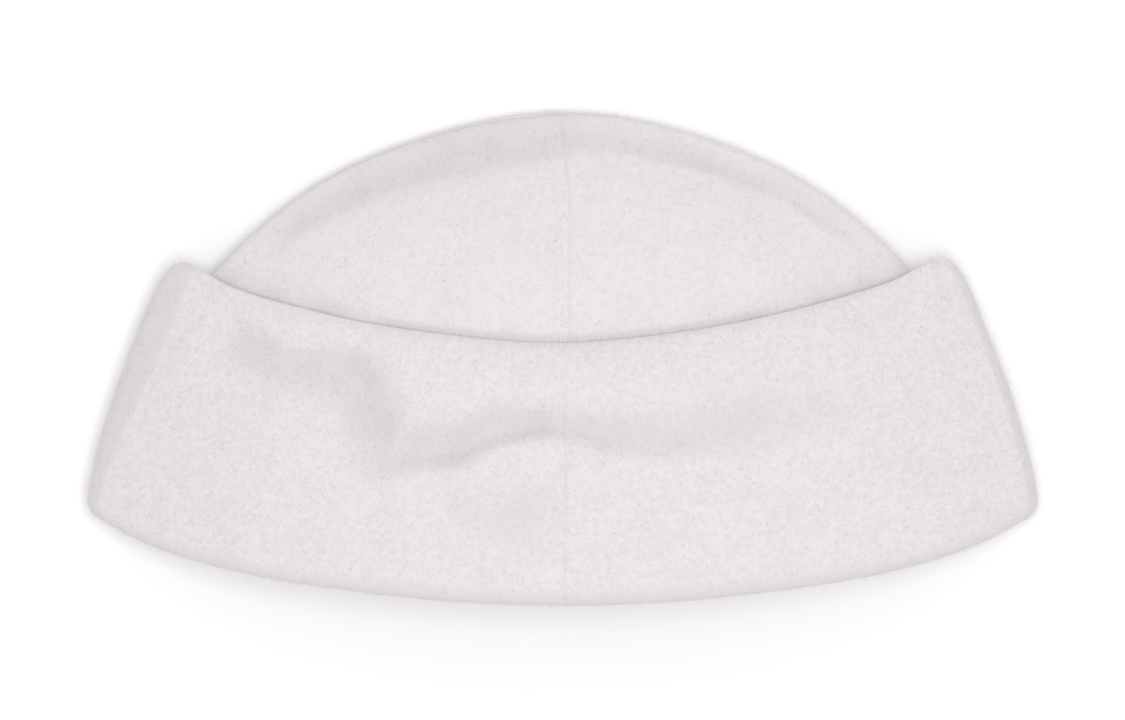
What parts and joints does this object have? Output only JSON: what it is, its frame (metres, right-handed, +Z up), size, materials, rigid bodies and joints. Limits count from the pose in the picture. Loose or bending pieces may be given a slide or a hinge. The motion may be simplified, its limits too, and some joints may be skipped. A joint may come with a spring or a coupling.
{
  "type": "beanie",
  "caption": "Soft beanie of thick napped cloth: a gored dome crown and a wide cuff turned up round the rim, lying on its back with its mouth open.",
  "frame": {"origin": "on the surface that the hat lies on, under the middle of its box", "axes": "+Z up from that surface, through the back of the hat and then its front; +Y from the mouth to the top of the crown; +X to the hat's side, which is the right of the picture"},
  "size_m": [0.2902, 0.1505, 0.0512],
  "materials": {
    "crown_cloth": "matt napped off-white cloth",
    "cuff_cloth": "matt napped off-white cloth"
  },
  "bodies": {
    "root": {"crown_front_left": "crown_cloth", "crown_front_right": "crown_cloth", "crown_back_left": "crown_cloth", "crown_back_right": "crown_cloth", "cuff_front_left": "cuff_cloth", "cuff_front_right": "cuff_cloth", "cuff_back_left": "cuff_cloth", "cuff_back_right": "cuff_cloth"}
  },
  "joints": []
}
